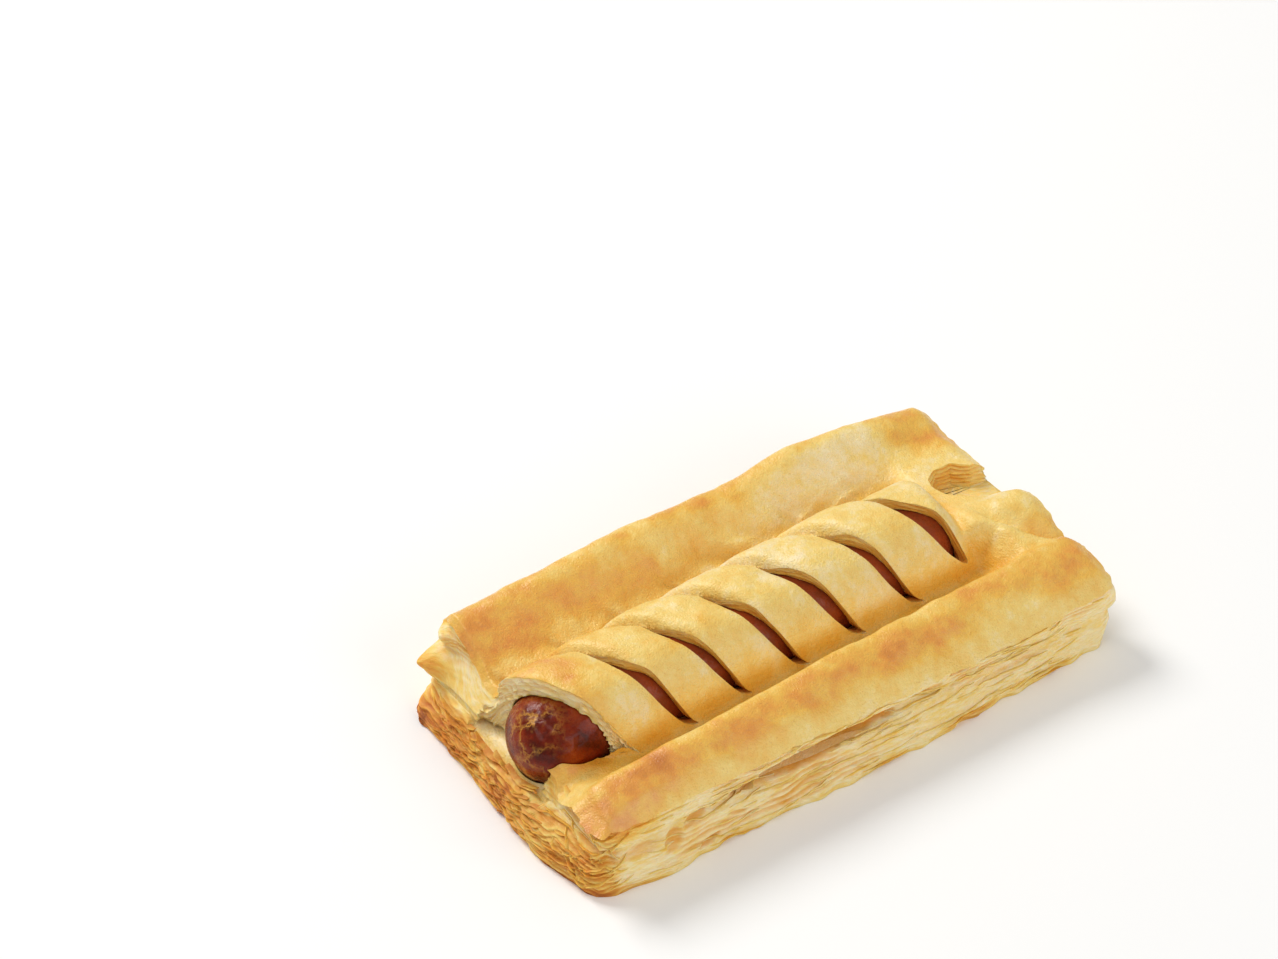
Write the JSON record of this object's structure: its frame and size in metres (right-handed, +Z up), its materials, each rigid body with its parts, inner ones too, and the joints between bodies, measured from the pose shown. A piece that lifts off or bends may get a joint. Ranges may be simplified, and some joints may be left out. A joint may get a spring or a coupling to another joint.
{
  "type": "sausage roll",
  "caption": "Baked sausage roll: a sausage in a laminated pastry case with slashed strips over it, open at one end, for laying on a plate or tray.",
  "frame": {"origin": "under the middle of the whole, on the face that it rests on", "axes": "+X along the sausage, from its open front end to the closed back end; +Y across, towards the taller rim; +Z up"},
  "size_m": [0.1664, 0.0876, 0.0357],
  "materials": {
    "pastry": "baked, egg-washed pastry: golden and slightly glossy on top, pale and matt at its layered sides",
    "sausage": "baked sausage skin: dark red-brown, moist and glossy"
  },
  "bodies": {
    "root": {"pastry": "pastry", "sausage": "sausage"}
  },
  "joints": []
}
